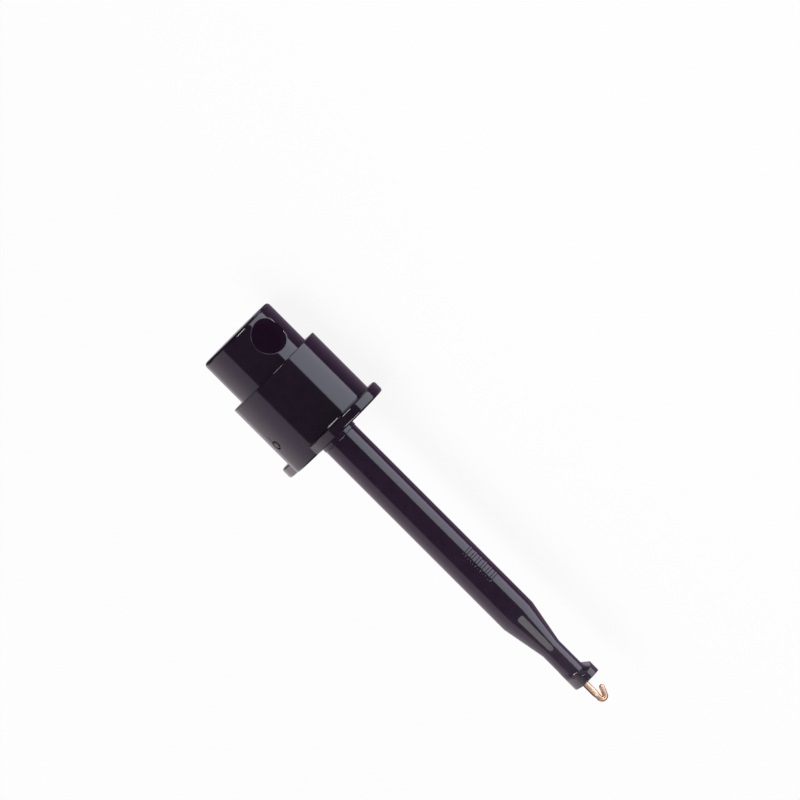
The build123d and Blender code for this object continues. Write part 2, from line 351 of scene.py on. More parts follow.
# ---- nose barrel ----
def barrel_radius(station):
    """Plain radius of the tube, taper and neck, with its two corners eased."""
    slope = (TUBE_RADIUS - NECK_RADIUS) / (NECK_STATION - TAPER_STATION)
    taper = TUBE_RADIUS - slope * (station - TAPER_STATION)
    eased = -smooth_max(-taper, np.float64(-TUBE_RADIUS), CORNER_EASE)
    return smooth_max(eased, np.float64(NECK_RADIUS), CORNER_EASE)


def grip_bars(station, rolls):
    """Height of the plain raised bars on the tube's flank."""
    across = np.abs(np.radians(rolls - GRIP_BAR_ROLL) * TUBE_RADIUS)
    sides = 1 - smoothstep(across, GRIP_BAR_WIDTH / 2 - 0.05, GRIP_BAR_WIDTH / 2 + 0.05)
    centres = GRIP_BAR_STATION + GRIP_BAR_PITCH * np.arange(GRIP_BAR_COUNT)
    along = np.min(np.abs(station - centres))
    half = GRIP_BAR_THICKNESS / 2
    return GRIP_BAR_HEIGHT * sides * (1 - smoothstep(along, half - 0.05, half + 0.05))


def round_rise(distance, length):
    """0 to 1 over a length, along a quarter of an ellipse."""
    short = 1 - min(max(distance / length, 0.0), 1.0)
    return math.sqrt(1 - short**2)


def facet_depth(station):
    """Depth of the long flat on the taper, which runs out round at both ends."""
    run_in = round_rise(station - FACET_STATION, FACET_RUN_IN)
    run_out = round_rise(FACET_END_STATION - station, FACET_RUN_OUT)
    return FACET_DEPTH * run_in * run_out


def facet_half_angle(station):
    """Degrees from the middle of the flat to its edge."""
    return math.degrees(math.acos(1 - facet_depth(station) / float(barrel_radius(station))))


def facet_columns(station, rolls):
    """The grid's rolls at a station, moved so that one column runs along each edge of the flat."""
    if np.ndim(station) or not FACET_STATION - 0.12 < station < FACET_END_STATION + 0.12:
        return rolls
    turn = (rolls - FACET_ROLL + 180) % 360 - 180
    half = max(facet_half_angle(station), 2.0)
    even = (-FACET_WINDOW, -FACET_COLUMN, FACET_COLUMN, FACET_WINDOW)
    moved = FACET_ROLL + np.interp(turn, even, (-FACET_WINDOW, -half, half, FACET_WINDOW))
    return np.where(np.abs(turn) < FACET_WINDOW, moved, rolls)


def facet_limit(station, rolls):
    """Radius of the flat; far larger than the barrel away from it."""
    depth = facet_depth(station)
    turn = np.radians((rolls - FACET_ROLL + 180) % 360 - 180)
    flat = (barrel_radius(station) - depth) / np.maximum(np.cos(turn), 0.2)
    return np.where((np.abs(turn) < 0.6) & (depth > 0), flat, 99.0)


def tip_outline(rolls):
    """Radius of the tip block: a round bar set off the axis."""
    turn = np.radians(rolls - TIP_ROLL)
    return LUG_OFFSET * np.cos(turn) + np.sqrt(LUG_RADIUS**2 - (LUG_OFFSET * np.sin(turn)) ** 2)


def tip_share(station, rolls):
    """How far the neck has grown into the tip block: a ramp that ends at a slanting line."""
    slant = np.clip((rolls + 180) % 360 - 180, *LUG_RAMP_ROLLS)
    full = LUG_STATION + LUG_STATION_SPREAD * np.cos(np.radians(slant - LUG_STATION_ROLL))
    rise = 1 + (station - full) / LUG_RAMP
    return -smooth_max(-smooth_max(rise, 0.0, LUG_RAMP_EASE), -1.0, LUG_RAMP_EASE)


def notch_depth(station, rolls):
    """Depth of the short slot across the tip's ramp."""
    across = np.abs(np.radians(rolls - NOTCH_ROLL) * LUG_RADIUS)
    sides = 1 - smoothstep(across, NOTCH_WIDTH / 2 - 0.05, NOTCH_WIDTH / 2 + 0.03)
    half = NOTCH_LENGTH / 2
    ends = 1 - smoothstep(abs(station - NOTCH_STATION), half - 0.04, half + 0.02)
    return NOTCH_DEPTH * sides * ends


def barrel_outline(station, rolls):
    """Outer radius of the nose at a station, with everything that is moulded on it."""
    radius = barrel_radius(station) + grip_bars(station, rolls)
    radius = np.minimum(radius, facet_limit(station, rolls))
    if station > TIP_RAMP_START:
        radius = radius + (tip_outline(rolls) - radius) * tip_share(station, rolls)
        radius = radius - notch_depth(station, rolls)
    return radius


def tip_face(radius, rolls):
    """Station of the tip's end face, with the hook's pocket and the slope away from the lug."""
    turn = np.radians(rolls - TIP_ROLL)
    along, across = radius * np.cos(turn), radius * np.sin(turn)
    distance = np.hypot(along - HOOK_POINTS[3][1], across)
    pocket = 1 - smoothstep(distance, LUG_POCKET_RADIUS - 0.05, LUG_POCKET_RADIUS + 0.03)
    slope = TIP_SLOPE * smoothstep(-along, *TIP_SLOPE_REACH)
    return TIP_STATION - LUG_POCKET_DEPTH * pocket - slope


def nose_stations():
    """Stations along the nose, closer together at the bars, at the flat's ends and at the tip."""
    bars_end = GRIP_BAR_STATION + GRIP_BAR_PITCH * (GRIP_BAR_COUNT - 1)
    stations = span(ROOT_BOSS_STATION + 0.2, GRIP_BAR_STATION - 0.4, 0.9)
    stations += span(GRIP_BAR_STATION - 0.3, bars_end + 0.3, 0.035)
    stations += span(bars_end + 0.5, FACET_STATION - 0.15, 0.6)
    stations += span(FACET_STATION - 0.1, FACET_STATION + 0.2, 0.02)
    stations += span(FACET_STATION + 0.3, FACET_END_STATION - 0.35, 0.15)
    stations += span(FACET_END_STATION - 0.3, FACET_END_STATION + 0.05, 0.02)
    stations += span(FACET_END_STATION + 0.3, TIP_RAMP_START, 0.4)
    stations += span(TIP_RAMP_START + 0.1, TIP_FINE_START, 0.08)
    return stations + span(TIP_FINE_START + 0.035, TIP_RAMP_END, 0.035)


def tip_end_rows(rolls):
    """Rows over the tip block's straight end, its rounded edge and its end face."""
    rim = barrel_outline(TIP_STATION, rolls)
    end = tip_face(rim, rolls)
    straight = end - TIP_ROUND - TIP_RAMP_END
    rows = [(TIP_RAMP_END + straight * f, rim) for f in (0.2, 0.6, 1)]
    for a in np.radians((22, 45, 68, 90)):
        rows.append((end - TIP_ROUND * (1 - math.sin(a)), rim - TIP_ROUND * (1 - math.cos(a))))
    for f in np.linspace(0, 1, 26)[1:]:
        radius = (rim - TIP_ROUND) * (1 - f) + (WIRE_BORE + 0.04) * f
        rows.append((tip_face(radius, rolls), radius))
    return rows


def make_barrel():
    rolls = roll_columns(2.5, (FACET_ROLL, FACET_WINDOW, 0.75), (GRIP_BAR_ROLL, 26, 1.0))
    chamfer = 0.04
    rows = [(BASE_STATION, SPRING_POCKET_RADIUS), (BASE_STATION, BASE_RADIUS - 0.08)]
    rows += [(BASE_STATION + 0.08, BASE_RADIUS), (FLANGE_FRONT - chamfer, BASE_RADIUS)]
    face = span(BASE_RADIUS - chamfer, ROOT_BOSS_RADIUS + 0.06, 0.6)
    rows += [(FLANGE_FRONT, r) for r in face]
    boss, boss_end = ROOT_BOSS_RADIUS, ROOT_BOSS_STATION
    rows += [(FLANGE_FRONT + 0.02, boss + 0.02), (FLANGE_FRONT + 0.06, boss)]
    rows += [(boss_end - 0.05, boss), (boss_end, boss - 0.05), (boss_end + 0.05, TUBE_RADIUS)]
    rows += [(s, barrel_outline(s, facet_columns(s, rolls))) for s in nose_stations()]
    rows += tip_end_rows(rolls)
    rows += [(tip_face(WIRE_BORE, rolls) - 0.04, WIRE_BORE)]
    rows += [(TUBE_BORE_END, WIRE_BORE), (TUBE_BORE_END, TUBE_BORE)]
    rows += [(SPRING_POCKET_FLOOR, TUBE_BORE), (SPRING_POCKET_FLOOR, SPRING_POCKET_RADIUS)]
    grid = [place(s, facet_columns(s, rolls), radius) for s, radius in rows]
    mesh = Mesh("barrel_shell")
    mesh.add_grid(np.stack(grid), wrap=True, loop=True)
    return mesh.make()


# ---- head cap ----
HOLE_WINDOW_STATIONS = (0.57, 4.89)
HOLE_WINDOW_ROLL = 36.0
HOLE_SIDE_STEPS = 24


def window_loop(radius):
    """Stations and heights round the square window in a cylinder, side by side."""
    low, high = HOLE_WINDOW_STATIONS
    stations = np.linspace(low, high, HOLE_SIDE_STEPS + 1)
    rolls = np.linspace(-HOLE_WINDOW_ROLL, HOLE_WINDOW_ROLL, HOLE_SIDE_STEPS + 1)
    heights = radius * np.sin(np.radians(rolls))
    top = [(low, h) for h in heights[:-1]]
    right = [(s, heights[-1]) for s in stations[:-1]]
    bottom = [(high, h) for h in heights[:0:-1]]
    left = [(s, heights[0]) for s in stations[:0:-1]]
    return np.array(top + right + bottom + left)


def circle_at(loop, size):
    """The circle round the lead hole, at the window loop's own bearings."""
    bearing = np.arctan2(loop[:, 1], loop[:, 0] - LEAD_HOLE_STATION)
    return np.stack([LEAD_HOLE_STATION + size * np.cos(bearing), size * np.sin(bearing)], -1)


def on_cylinder(loop, radius):
    """Points of (station, height) pairs on the -Y side of a cylinder about the axis."""
    depth = np.sqrt(np.maximum(radius**2 - loop[:, 1] ** 2, 0))
    return flat_points(loop, depth)


def flat_points(loop, depth):
    x = HEAD_X - loop[:, 0] * MM
    z = AXIS_Z + loop[:, 1] * MM
    return np.stack(np.broadcast_arrays(x, -np.asarray(depth) * MM, z), -1)


def add_wall_with_window(mesh, radius, hole, start, end, rolls):
    """Part of a cylinder wall whose window shrinks to a round hole."""
    low, high = HOLE_WINDOW_STATIONS
    stations = span(start, low, 0.1)[:-1]
    stations += list(np.linspace(low, high, HOLE_SIDE_STEPS + 1)) + span(high, end, 0.5)[1:]
    grid = turned_grid([(s, radius) for s in stations], rolls)
    first = int(np.argmin(np.abs(rolls + HOLE_WINDOW_ROLL)))
    last = int(np.argmin(np.abs(rolls - HOLE_WINDOW_ROLL)))
    row = int(np.argmin(np.abs(np.array(stations) - low)))

    def in_window(i, j):
        return row <= i < row + HOLE_SIDE_STEPS and first <= j < last

    mesh.add_grid(grid, wrap=True, skip=in_window)
    loop = window_loop(radius)
    ring = circle_at(loop, hole)
    rings = [on_cylinder(loop * (1 - f) + ring * f, radius) for f in np.linspace(0, 1, 9)]
    mesh.add_grid(np.stack(rings), wrap=True)
    return loop


def make_cap():
    """Thumb cap, made with its lead hole facing -Y and then turned about the axis."""
    rolls = roll_columns(2.5, (0, HOLE_WINDOW_ROLL, 2 * HOLE_WINDOW_ROLL / HOLE_SIDE_STEPS))
    mesh = Mesh("cap_shell")
    face = [(0, r) for r in (0, 0.6, 1.5, 2.5, 3.5, CAP_RADIUS - CAP_EDGE_ROUND - 0.1)]
    edge = arc(CAP_EDGE_ROUND, CAP_RADIUS - CAP_EDGE_ROUND, CAP_EDGE_ROUND, -90, 0, 9)
    mesh.add_grid(turned_grid(face + edge, rolls), wrap=True)
    rim = [(CAP_RIM_STATION, CAP_RADIUS), (CAP_RIM_STATION, CAP_RIM_RADIUS)]
    rim += [(CAP_LENGTH, CAP_RIM_RADIUS), (CAP_LENGTH, CAP_LOWER_BORE)]
    rim += [(CAP_SHOULDER_STATION, CAP_LOWER_BORE), (CAP_SHOULDER_STATION, CAP_UPPER_BORE)]
    mesh.add_grid(turned_grid(rim, rolls), wrap=True)
    ceiling = [(CAP_END_WALL, CAP_UPPER_BORE), (CAP_END_WALL, 0)]
    mesh.add_grid(turned_grid(ceiling, rolls), wrap=True)
    mouth = LEAD_HOLE_RADIUS + LEAD_HOLE_ROUND
    loop = add_wall_with_window(mesh, CAP_RADIUS, mouth, CAP_EDGE_ROUND, CAP_RIM_STATION, rolls)
    inner_loop = add_wall_with_window(
        mesh, CAP_UPPER_BORE, LEAD_BOSS_RADIUS, CAP_END_WALL, CAP_SHOULDER_STATION, rolls
    )
    add_hole_wall(mesh, loop, inner_loop)
    cap = mesh.make()
    centre = Matrix.Translation((0, 0, AXIS_Z))
    turn = Matrix.Rotation(-math.radians(LEAD_HOLE_ROLL), 4, "X")
    cap.data.transform(centre @ turn @ centre.inverted())
    return cap


def add_hole_wall(mesh, loop, inner_loop):
    """The lead hole's rounded mouth and straight wall, and the boss round its inner end."""
    outer = circle_at(loop, LEAD_HOLE_RADIUS + LEAD_HOLE_ROUND)
    mouth_depth = np.sqrt(CAP_RADIUS**2 - outer[:, 1] ** 2)
    rings = [flat_points(outer, mouth_depth)]
    for a in np.radians((30, 60, 90)):
        size = LEAD_HOLE_RADIUS + LEAD_HOLE_ROUND * (1 - math.sin(a))
        depth = mouth_depth - LEAD_HOLE_ROUND * (1 - math.cos(a))
        rings.append(flat_points(circle_at(loop, size), depth))
    rings.append(flat_points(circle_at(loop, LEAD_HOLE_RADIUS), LEAD_BOSS_INNER_RADIUS))
    mesh.add_grid(np.stack(rings), wrap=True)
    boss = circle_at(inner_loop, LEAD_BOSS_RADIUS)
    rings = [on_cylinder(boss, CAP_UPPER_BORE), flat_points(boss, LEAD_BOSS_INNER_RADIUS)]
    rings.append(flat_points(circle_at(loop, LEAD_HOLE_RADIUS), LEAD_BOSS_INNER_RADIUS))
    mesh.add_grid(np.stack(rings), wrap=True)


# ---- hook ----
def bend_point(crown, angle):
    """Point of the hook's bend, as a station and an offset towards the lug."""
    return crown + HOOK_BEND_RADIUS * math.cos(angle), HOOK_BEND_RADIUS * (1 + math.sin(angle))


def hook_points():
    """Centre line of the hook in (station, offset towards the lug): crown, mid bend, bend end,
    point."""
    crown = LENGTH - HOOK_RADIUS - HOOK_BEND_RADIUS
    turn = 180.0 - HOOK_ARM_ANGLE
    middle, end = (bend_point(crown, a) for a in np.radians([-90 + turn / 2, -90 + turn]))
    arm = math.radians(HOOK_ARM_ANGLE)
    point = (end[0] - HOOK_ARM_LENGTH * math.cos(arm), end[1] + HOOK_ARM_LENGTH * math.sin(arm))
    return (crown, 0.0), middle, end, point


HOOK_POINTS = hook_points()


def sweep(name, path, radii, sides):
    """Round tube along a list of points, with a parallel frame carried along it and closed ends."""
    path = np.array(path)
    tangents = np.gradient(path, axis=0)
    tangents /= np.linalg.norm(tangents, axis=1)[:, None]
    normal = np.cross(tangents[0], (0.3, 0.9, 0.31))
    rings = []
    turn = np.linspace(0, 2 * math.pi, sides, endpoint=False)
    for centre, tangent, radius in zip(path, tangents, radii):
        normal = normal - tangent * np.dot(normal, tangent)
        normal /= np.linalg.norm(normal)
        side = np.cross(tangent, normal)
        ring = np.outer(np.cos(turn), normal) + np.outer(np.sin(turn), side)
        rings.append(centre + radius * ring)
    rings.insert(0, np.broadcast_to(path[0], rings[0].shape))
    rings.append(np.broadcast_to(path[-1], rings[0].shape))
    mesh = Mesh(name)
    mesh.add_grid(np.stack(rings), wrap=True)
    return mesh.make(weld=1e-8, sharp=50)


def make_hook():
    """The hook wire, which lies against one side of its bore."""
    crown, _, bend_end, point = HOOK_POINTS
    stations = span(SOLDER_CUP_END, SHANK_END_STATION, 1.5)
    stations += span(SHANK_END_STATION + 0.1, crown[0] - 0.05, 0.1)
    line = [(s, 0.0) for s in stations]
    turn = 180.0 - HOOK_ARM_ANGLE
    line += [bend_point(crown[0], a) for a in np.radians(np.linspace(-90, -90 + turn, 33))]
    for f in np.linspace(0, 1, 9)[1:]:
        line.append((bend_end[0] * (1 - f) + point[0] * f, bend_end[1] * (1 - f) + point[1] * f))
    thin = smoothstep([s for s, _ in line], SHANK_END_STATION, HOOK_START_STATION)
    radii = list((SHANK_RADIUS + (HOOK_RADIUS - SHANK_RADIUS) * thin) * MM)
    shank = sum(1 for s, r in line if r == 0)
    radii[shank:] = [HOOK_RADIUS * MM] * (len(line) - shank)
    along = np.array(point) - np.array(bend_end)
    along /= np.linalg.norm(along)
    for a in np.radians((15, 30, 45, 60, 75, 87, 90)):
        line.append(tuple(np.array(point) + along * HOOK_RADIUS * math.sin(a)))
        radii.append(HOOK_RADIUS * MM * math.cos(a))
    rest = np.array(outward(LEAN_AND_SHADE_ROLL)) * SHANK_REST_SHIFT * MM
    path = [place(s, TIP_ROLL, r) + rest for s, r in line]
    return sweep("hook_wire", path, radii, 40)


def make_spring():
    """Compression spring with closed end coils."""
    turns = np.linspace(0, SPRING_TURNS, SPRING_TURNS * 40 + 1)
    length = SPRING_POCKET_FLOOR - SPRING_TOP_STATION - 2 * SPRING_WIRE_RADIUS
    pitch = np.clip(np.minimum(turns, SPRING_TURNS - turns), 0.35, 1.0)
    along = np.concatenate([[0], np.cumsum((pitch[1:] + pitch[:-1]) / 2)])
    stations = SPRING_TOP_STATION + SPRING_WIRE_RADIUS + length * along / along[-1]
    path = [place(s, 360 * t, SPRING_MEAN_RADIUS) for s, t in zip(stations, turns)]
    return sweep("coil_spring", path, [SPRING_WIRE_RADIUS * MM] * len(path), 14)


# ---- materials ----
BLACK_NYLON = ((0.015, 0.0055, 0.019), (0.021, 0.0085, 0.026))
BARREL_NYLON = ((0.026, 0.0105, 0.033), (0.036, 0.016, 0.044))
WORN_NYLON = ((0.054, 0.036, 0.062), (0.068, 0.046, 0.078))
INNER_NYLON = ((0.010, 0.004, 0.012), (0.016, 0.006, 0.018))
# Faint glow painted into the cap's inside: painted stray light.
INNER_STRAY_LIGHT = (0.0105, 0.0040, 0.0115)
# Pale colour of the long flat on the taper: a painted highlight.
FLAT_PAINTED_HIGHLIGHT = ((0.135, 0.124, 0.137), (0.176, 0.162, 0.178))
DULL_NYLON = ((0.016, 0.016, 0.017), (0.026, 0.026, 0.027))
NATURAL_TUBE = ((0.52, 0.51, 0.47), (0.62, 0.61, 0.57))
COPPER = ((0.88, 0.57, 0.38), (0.96, 0.68, 0.48))
# Darker copper over the bent hook: painted shade.
BENT_HOOK_PAINTED_SHADE = (0.66, 0.42, 0.29)
# Dark line along one side of the wire: painted shade.
PAINTED_EDGE_SHADE = (0.07, 0.03, 0.015)
BRASS = ((0.70, 0.50, 0.20), (0.80, 0.60, 0.28))
STEEL = ((0.50, 0.50, 0.50), (0.62, 0.62, 0.61))
# Paler colour painted on one side of the tip: painted light.
TIP_PAINTED_LIGHT = (0.155, 0.132, 0.146)
# Paler colour painted on the flange's far ear: painted light.
EAR_PAINTED_LIGHT = (0.15, 0.13, 0.14)


def new_material(name):
    material = bpy.data.materials.new(name)
    material.use_nodes = True
    nodes = material.node_tree.nodes
    return material, nodes, material.node_tree.links, nodes["Principled BSDF"]


def add_noise(nodes, links, scale, detail=3.0, stretch=(1, 1, 1)):
    """Noise in the object's own coordinates, at a scale per metre."""
    coordinates = nodes.new("ShaderNodeTexCoord")
    mapping = nodes.new("ShaderNodeMapping")
    mapping.inputs["Scale"].default_value = stretch
    noise = nodes.new("ShaderNodeTexNoise")
    noise.inputs["Scale"].default_value = scale
    noise.inputs["Detail"].default_value = detail
    links.new(coordinates.outputs["Object"], mapping.inputs["Vector"])
    links.new(mapping.outputs["Vector"], noise.inputs["Vector"])
    return noise.outputs["Fac"]


def add_ramp(nodes, links, value, low, high, low_at=0.3, high_at=0.7):
    """Colour ramp between two greys or colours."""
    ramp = nodes.new("ShaderNodeValToRGB")
    ends = ramp.color_ramp.elements
    ends[0].position, ends[1].position = low_at, high_at
    for end, colour in zip(ends, (low, high)):
        end.color = (*colour, 1) if isinstance(colour, tuple) else (colour, colour, colour, 1)
    links.new(value, ramp.inputs["Fac"])
    return ramp.outputs["Color"]


def add_math(nodes, links, operation, first, second=None):
    """Math node on numbers or on other nodes' outputs."""
    node = nodes.new("ShaderNodeMath")
    node.operation = operation
    for socket, value in zip(node.inputs, (first, second)):
        if isinstance(value, float):
            socket.default_value = value
        elif value is not None:
            links.new(value, socket)
    return node.outputs["Value"]


def add_step(nodes, links, value, low, high, start=0.0, end=1.0):
    """Smooth step of a value between two others."""
    share = nodes.new("ShaderNodeMapRange")
    share.interpolation_type = "SMOOTHSTEP"
    share.inputs["From Min"].default_value, share.inputs["From Max"].default_value = low, high
    share.inputs["To Min"].default_value, share.inputs["To Max"].default_value = start, end
    links.new(value, share.inputs["Value"])
    return share.outputs["Result"]


def add_bump(nodes, links, height, shader, distance):
    bump = nodes.new("ShaderNodeBump")
    bump.inputs["Distance"].default_value = distance
    bump.inputs["Strength"].default_value = 1.0
    links.new(height, bump.inputs["Height"])
    links.new(bump.outputs["Normal"], shader.inputs["Normal"])


def add_along(nodes, links, start, end):
    """0 to 1 between two stations along the clip, in the object's own coordinates."""
    coordinates = nodes.new("ShaderNodeTexCoord")
    parts = nodes.new("ShaderNodeSeparateXYZ")
    links.new(coordinates.outputs["Object"], parts.inputs["Vector"])
    return add_step(nodes, links, parts.outputs["X"], HEAD_X - start * MM, HEAD_X - end * MM)


def add_aside(nodes, links, roll, low, high):
    """0 to 1 between two distances from the axis towards a roll."""
    coordinates = nodes.new("ShaderNodeTexCoord")
    height = nodes.new("ShaderNodeVectorMath")
    height.operation = "DOT_PRODUCT"
    side = outward(roll)
    height.inputs[1].default_value = side
    links.new(coordinates.outputs["Object"], height.inputs[0])
    axis = AXIS_Z * side.z
    return add_step(nodes, links, height.outputs["Value"], axis + low * MM, axis + high * MM)


def add_blend(nodes, links, share, first, second):
    """Mix of two colours or colour outputs."""
    mix = nodes.new("ShaderNodeMix")
    mix.data_type = "RGBA"
    links.new(share, mix.inputs["Factor"])
    for socket, colour in ((mix.inputs[6], first), (mix.inputs[7], second)):
        if isinstance(colour, tuple):
            socket.default_value = (*colour, 1)
        else:
            links.new(colour, socket)
    return mix.outputs[2]


def glossy_plastic(name, dark, light, rough, worn=None):
    """Black moulded nylon: faint cloudy colour, uneven gloss and a fine moulded skin.

    worn is the pair of colours that it fades to towards the hook.
    """
    material, nodes, links, shader = new_material(name)
    cloud = add_noise(nodes, links, 900.0)
    colour = add_ramp(nodes, links, cloud, dark, light)
    if worn is not None:
        share = add_along(nodes, links, TAPER_STATION - 3, NECK_STATION)
        colour = add_blend(nodes, links, share, colour, add_ramp(nodes, links, cloud, *worn))
    links.new(colour, shader.inputs["Base Color"])
    gloss = add_noise(nodes, links, 260.0, 4.0, (0.4, 1, 1))
    links.new(add_ramp(nodes, links, gloss, rough[0], rough[1]), shader.inputs["Roughness"])
    skin = add_noise(nodes, links, 2600.0, 2.0)
    add_bump(nodes, links, skin, shader, 0.0000006)
    shader.inputs["IOR"].default_value = 1.53
    return material


def metal(name, dark, light, rough, grain=(0.15, 1, 1)):
    """Drawn metal: fine drawing lines along the axis and a slightly uneven tone."""
    material, nodes, links, shader = new_material(name)
    tone = add_noise(nodes, links, 1500.0, 4.0, grain)
    links.new(add_ramp(nodes, links, tone, dark, light), shader.inputs["Base Color"])
    wear = add_noise(nodes, links, 2500.0, 3.0, grain)
    links.new(add_ramp(nodes, links, wear, rough[0], rough[1]), shader.inputs["Roughness"])
    add_bump(nodes, links, wear, shader, 0.000002)
    shader.inputs["Metallic"].default_value = 1.0
    return material


def paint_stray_glow(material, colour):
    """Painted stray light: a faint glow in the material that fills the deepest shade."""
    shader = material.node_tree.nodes["Principled BSDF"]
    shader.inputs["Emission Color"].default_value = (*colour, 1)
    shader.inputs["Emission Strength"].default_value = 1.0
    shader.inputs["Specular IOR Level"].default_value = 0.15


def paint_hook_shade(material):
    """Painted shade: a dark line along one side of the wire, and darker, duller copper over the
    bent hook.
    """
    nodes, links = material.node_tree.nodes, material.node_tree.links
    shader = nodes["Principled BSDF"]
    bright = shader.inputs["Base Color"].links[0].from_socket
    # Painted shade: a dark line along the side of the wire that the shank leans to.
    share = add_aside(nodes, links, LEAN_AND_SHADE_ROLL, *PAINTED_SHADE_REACH)
    # Darker copper over the bent hook: painted shade.
    bent_part = add_along(nodes, links, SHANK_END_STATION, HOOK_START_STATION + 0.2)
    bend_shaded = add_blend(nodes, links, bent_part, bright, BENT_HOOK_PAINTED_SHADE)
    links.new(add_blend(nodes, links, share, bend_shaded, PAINTED_EDGE_SHADE), shader.inputs["Base Color"])


def paint_light_patch(material, stations, roll, reach, colour):
    """Painted light: a paler, uneven patch on one side, over a stretch of the clip."""
    nodes, links = material.node_tree.nodes, material.node_tree.links
    shader = nodes["Principled BSDF"]
    unlit_colour = shader.inputs["Base Color"].links[0].from_socket
    along = add_along(nodes, links, *stations)
    patch = add_math(nodes, links, "MULTIPLY", along, add_aside(nodes, links, roll, *reach))
    cloud = add_ramp(nodes, links, add_noise(nodes, links, 1800.0), 0.8, 1.0)
    uneven = add_math(nodes, links, "MULTIPLY", patch, cloud)
    links.new(add_blend(nodes, links, uneven, unlit_colour, colour), shader.inputs["Base Color"])


def matte_plastic(name, dark, light, rough):
    """Matte plastic, as from an unpolished mould, and the flat's pale painted highlight: clouded
    colour and gloss, and a fine grain.
    """
    material, nodes, links, shader = new_material(name)
    cloud = add_noise(nodes, links, 1200.0, 4.0)
    links.new(add_ramp(nodes, links, cloud, dark, light), shader.inputs["Base Color"])
    links.new(add_ramp(nodes, links, cloud, rough[0], rough[1]), shader.inputs["Roughness"])
    add_bump(nodes, links, add_noise(nodes, links, 6000.0, 2.0), shader, 0.000004)
    return material


def dress(thing, *materials):
    thing.data.materials.clear()
    for material in materials:
        thing.data.materials.append(material)


def mark_inside(cap):
    """Gives the cap's inside and its lead hole the unpolished finish, with its painted glow."""
    for face in cap.data.polygons:
        centre = face.center
        station = (HEAD_X - centre.x) / MM
        radius = math.hypot(centre.y, centre.z - AXIS_Z) / MM
        if radius < CAP_RADIUS - POLISHED_DEPTH and station > CAP_END_WALL / 2:
            face.material_index = 1


def mark_facet(barrel):
    """Gives the long flat on the taper a matte, pale colour that is a painted highlight, with a
    crisp edge."""
    middle = outward(FACET_ROLL)
    for face in barrel.data.polygons:
        centre = face.center
        station = (HEAD_X - centre.x) / MM
        if not FACET_STATION < station < FACET_END_STATION + 0.05:
            continue
        side = Vector((0, centre.y, centre.z - AXIS_Z))
        outside = side.length >= FACET_LEAST_RADIUS * MM
        if outside and math.degrees(side.angle(middle)) < facet_half_angle(station):
            # The flat takes the pale painted highlight.
            face.material_index = 1
    finishes = {}
    for face in barrel.data.polygons:
        for key in face.edge_keys:
            finishes.setdefault(key, set()).add(face.material_index)
    for edge in barrel.data.edges:
        if len(finishes[edge.key]) == 2:
            edge.use_edge_sharp = True


# ---- stage, light and camera ----
def make_plane(name, size, height):
    bpy.ops.mesh.primitive_plane_add(size=size, location=(0, 0, height))
    plane = bpy.context.object
    plane.name = name
    return plane


def make_floor():
    """White light table: it glows evenly and takes only a breath of shadow."""
    floor = make_plane("floor", 6.0, 0.0)
    material, nodes, links, shader = new_material("light_table")
    tone = add_noise(nodes, links, 3.0)
    links.new(add_ramp(nodes, links, tone, 0.895, 0.915), shader.inputs["Emission Color"])
    shader.inputs["Emission Strength"].default_value = 1.0
    shader.inputs["Base Color"].default_value = (0.11, 0.11, 0.11, 1)
    shader.inputs["Roughness"].default_value = 0.9
    shader.inputs["Specular IOR Level"].default_value = 0.0
    dress(floor, material)
    floor.visible_glossy = False


def make_backdrop():
    """Plain white studio wall all round, seen only by the camera."""
    bpy.ops.mesh.primitive_uv_sphere_add(segments=64, ring_count=32, radius=2.9)
    wall = bpy.context.object
    wall.name = "studio_wall"
    material, nodes, links, shader = new_material("pale_wall")
    tone = add_noise(nodes, links, 1.5)
    links.new(add_ramp(nodes, links, tone, 0.97, 1.0), shader.inputs["Emission Color"])
    shader.inputs["Base Color"].default_value = (0, 0, 0, 1)
    shader.inputs["Specular IOR Level"].default_value = 0.0
    shader.inputs["Emission Strength"].default_value = 1.0
    dress(wall, material)
    for kind in ("visible_glossy", "visible_diffuse", "visible_transmission", "visible_shadow"):
        setattr(wall, kind, False)


DARK = (0.13, 0.13, 0.13)
SKY_LEVELS = (
    # roll in degrees from -Y over the top, and the light that comes from there
    (-180, (0.95, 0.92, 0.95)),
    (-157, (0.40, 0.36, 0.40)),
    (-140, (0.30, 0.24, 0.30)),
    (-100, (0.26, 0.18, 0.27)),
    (-73, (0.17, 0.11, 0.18)),
    (-70.5, (2.50, 2.65, 3.05)),
    (-18.5, (2.50, 2.65, 3.05)),
    (-16.5, DARK),
    (79, DARK),
    (82.5, (0.86, 0.78, 0.90)),
    (100, (0.94, 0.86, 1.00)),
    (132, (1.15, 1.05, 1.12)),
    (150, (1.05, 0.95, 1.00)),
    (164, (0.84, 0.76, 0.78)),
    (180, (0.95, 0.92, 0.95)),
)
# The long panels fade towards both ends, and the rear one sooner at the head's end. Reaches are
# the X part of a direction.
END_FADE = (0.38, 0.66)
END_LEVEL = 0.10
BACK_ROLLS = (126, 143)
BACK_FADE = (0.08, 0.24)
BACK_LOSS = 0.9
LOW_PANEL_ROLLS = (-118, -90)
LOW_PANEL_REACH = (0.58, 0.86)
LOW_PANEL_EDGES = (0.1, 0.08)
LOW_PANEL_LEVEL = 2.2
LOW_PANEL_COLOUR = (1.0, 0.93, 1.0, 1)


